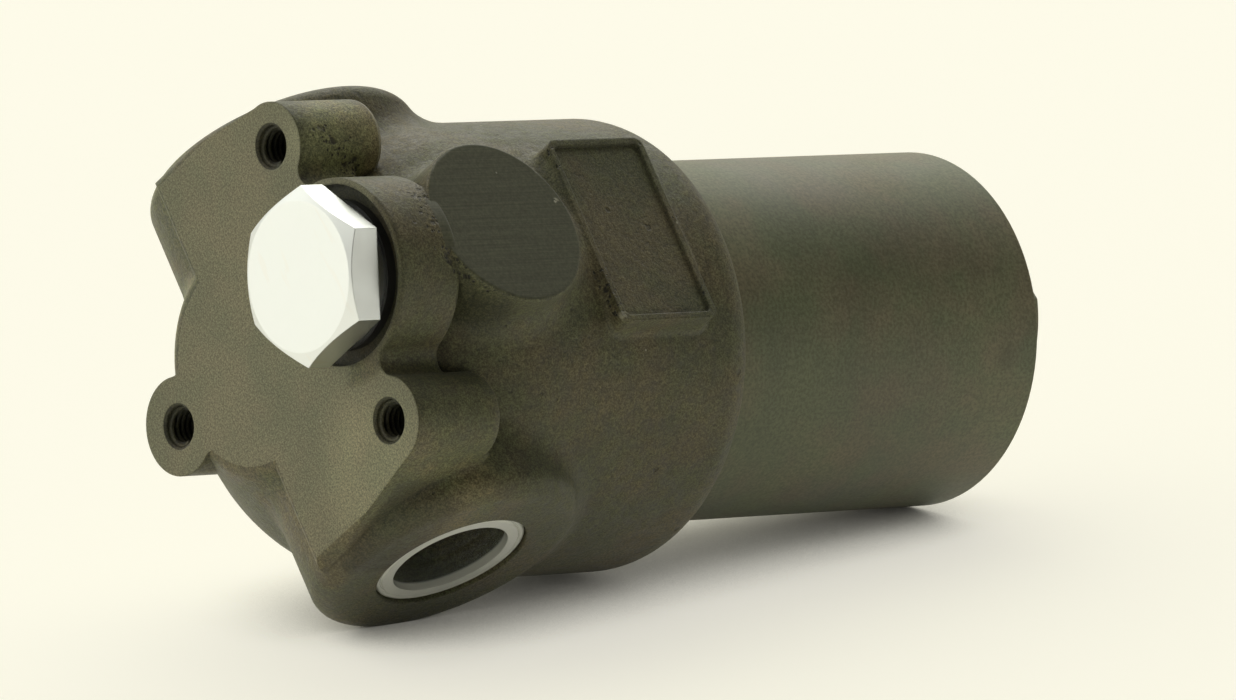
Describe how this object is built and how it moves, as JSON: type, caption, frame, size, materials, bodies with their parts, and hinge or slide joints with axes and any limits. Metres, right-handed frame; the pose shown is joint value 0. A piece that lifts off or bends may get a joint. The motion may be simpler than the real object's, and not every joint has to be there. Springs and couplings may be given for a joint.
{
  "type": "hydraulic pressure filter",
  "caption": "Flange-mounted hydraulic pressure filter: cast head with opposed ports, plugged indicator port, screw-in bowl with hexagon, pleated element inside.",
  "frame": {"origin": "on the bowl axis, in the plane of the machined mounting face", "axes": "+Z out of the mounting face along the bowl axis, +X out of the inlet port, +Y towards the indicator port and the nameplate pad"},
  "size_m": [0.0908, 0.0929, 0.2057],
  "materials": {
    "head_iron": "phosphated cast skin, matt, fine grain",
    "bowl_steel": "phosphated turned steel, satin",
    "plug_zinc": "bright zinc plate",
    "cap_plastic": "translucent white polyethylene",
    "seal_rubber": "nitrile rubber",
    "backup_ptfe": "white filled polymer",
    "inner_steel": "turned steel",
    "element_steel": "tinned sheet steel",
    "spring_steel": "drawn spring wire",
    "filter_media": "pleated glass fibre",
    "seal_copper": "soft copper"
  },
  "bodies": {
    "head": {"filter_head": "head_iron", "element_spigot": "inner_steel", "element_top_cap": "element_steel", "element_o_ring": "seal_rubber", "element_core": "element_steel", "element_media": "filter_media", "element_wrap": "element_steel", "element_bottom_cap": "element_steel", "bypass_valve_body": "inner_steel", "bypass_seal": "seal_copper", "bypass_spring": "spring_steel", "bypass_spring_retainer": "inner_steel"},
    "bowl_seals": {"bowl_o_ring": "seal_rubber", "bowl_backup_ring": "backup_ptfe"},
    "bowl": {"filter_bowl": "bowl_steel"},
    "plug_seal": {"plug_seal_ring": "seal_rubber"},
    "plug": {"indicator_plug": "plug_zinc"},
    "inlet_cap": {"inlet_port_cap": "cap_plastic"},
    "outlet_cap": {"outlet_port_cap": "cap_plastic"},
    "poppet": {"bypass_poppet": "inner_steel"}
  },
  "joints": [
    {"name": "bowl_travel", "type": "slide", "parent": "head", "child": "bowl_seals", "axis": [0, 0, -1], "range_m": [0, 0.0181]},
    {"name": "bowl_turn", "type": "hinge", "parent": "bowl_seals", "child": "bowl", "pos_m": [0, 0, -0.1], "axis": [0, 0, -1], "range_deg": [0, 3240]},
    {"name": "plug_travel", "type": "slide", "parent": "head", "child": "plug_seal", "axis": [0, 0, 1], "range_m": [0, 0.0106]},
    {"name": "plug_turn", "type": "hinge", "parent": "plug_seal", "child": "plug", "pos_m": [0, 0.031, 0], "axis": [0, 0, 1], "range_deg": [0, 2520]},
    {"name": "inlet_cap_pull", "type": "slide", "parent": "head", "child": "inlet_cap", "axis": [1, 0, 0], "range_m": [0, 0.014]},
    {"name": "outlet_cap_pull", "type": "slide", "parent": "head", "child": "outlet_cap", "axis": [-1, 0, 0], "range_m": [0, 0.014]},
    {"name": "poppet_lift", "type": "slide", "parent": "head", "child": "poppet", "axis": [0, 0, 1], "range_m": [0, 0.0018], "stiffness_N_per_m": 2000, "springref_m": -0.002, "deforming": ["bypass_spring"]}
  ],
  "couplings": [
    {"joint": "bowl_travel", "follows": "bowl_turn", "m_per_rad": 0.00031831},
    {"joint": "plug_travel", "follows": "plug_turn", "m_per_rad": 0.00023873}
  ]
}
